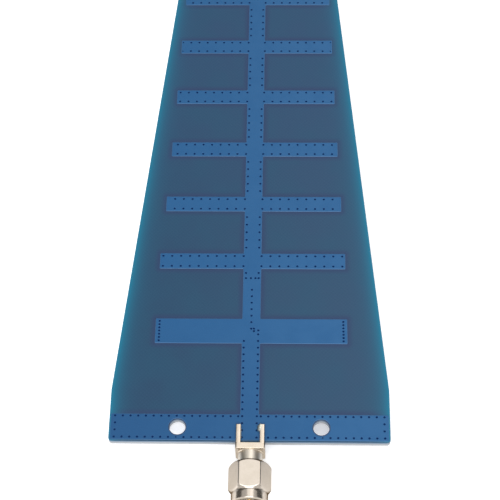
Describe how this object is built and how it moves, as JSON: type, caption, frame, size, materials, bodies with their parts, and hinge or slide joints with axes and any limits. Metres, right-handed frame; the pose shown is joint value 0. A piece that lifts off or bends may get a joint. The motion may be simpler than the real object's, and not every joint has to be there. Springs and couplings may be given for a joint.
{
  "type": "printed-circuit yagi antenna with a coaxial plug",
  "caption": "Flat tapered circuit-board Yagi antenna with a reflector, driven element and directors in copper, and a coaxial plug with a spinning hexagonal coupling nut soldered to its rear edge.",
  "frame": {"origin": "midway between the two mounting holes, on the underside of the laminate", "axes": "+X to the right across the board, +Y along the board from the plug to the tip, +Z out of the board's upper face"},
  "size_m": [0.06, 0.1531, 0.0079],
  "materials": {
    "laminate": "glass-reinforced laminate under blue solder mask",
    "masked_copper": "copper under blue solder mask",
    "gold_plate": "pale gold plated brass",
    "nickel_plate": "bright nickel plated brass",
    "insulator": "white fluoropolymer",
    "spring_bronze": "spring bronze",
    "gasket": "silicone rubber",
    "solder": "tin solder"
  },
  "bodies": {
    "antenna": {"laminate": "laminate", "top_copper": "masked_copper", "ground_left": "masked_copper", "ground_right": "masked_copper", "feed_line": "masked_copper", "lower_directors": "masked_copper", "plug_body": "gold_plate", "insulator": "insulator", "centre_contact": "gold_plate", "snap_ring": "spring_bronze", "gasket": "gasket", "solder_upper_left": "solder", "solder_upper_right": "solder", "solder_lower_left": "solder", "solder_lower_right": "solder", "solder_tail": "solder"},
    "nut": {"coupling_nut": "nickel_plate"}
  },
  "joints": [
    {"name": "nut_spin", "type": "hinge", "parent": "antenna", "child": "nut", "pos_m": [0.00025, -0.0119, -0.00045], "axis": [0, -1, 0], "continuous": true}
  ]
}
